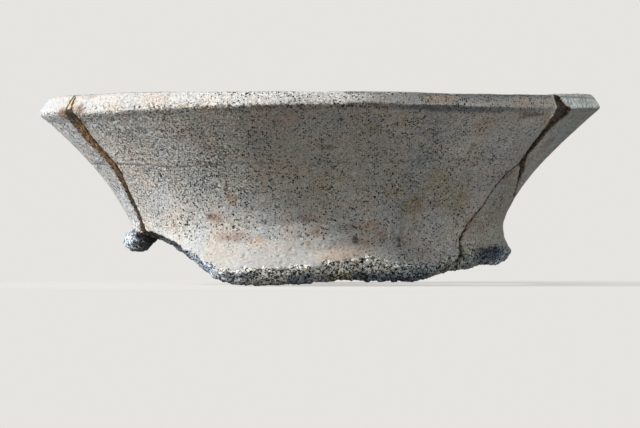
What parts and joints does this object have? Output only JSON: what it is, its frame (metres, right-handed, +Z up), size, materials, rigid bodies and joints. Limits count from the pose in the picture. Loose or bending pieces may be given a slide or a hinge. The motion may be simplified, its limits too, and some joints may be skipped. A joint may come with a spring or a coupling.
{
  "type": "pottery jar neck",
  "caption": "Flaring neck and bevelled rim of a large unglazed earthenware jar, broken off at the shoulder and put back together from its sherds.",
  "frame": {"origin": "on the floor under the middle of the ring, where the lowest points of the broken edge stand", "axes": "+Z up along the pot's turning axis towards the rim; -Y is the side seen in the picture; +X is to the viewer's right"},
  "size_m": [0.1548, 0.1554, 0.0522],
  "materials": {
    "earthenware": "matt, unglazed, sand tempered",
    "adhesive": "aged brown conservation adhesive"
  },
  "bodies": {
    "root": {"front_sherd": "earthenware", "left_sherd": "earthenware", "back_sherd": "earthenware", "right_rim_sherd": "earthenware", "right_lower_sherd": "earthenware", "left_adhesive": "adhesive", "right_adhesive": "adhesive", "back_left_adhesive": "adhesive", "back_right_adhesive": "adhesive"}
  },
  "joints": []
}
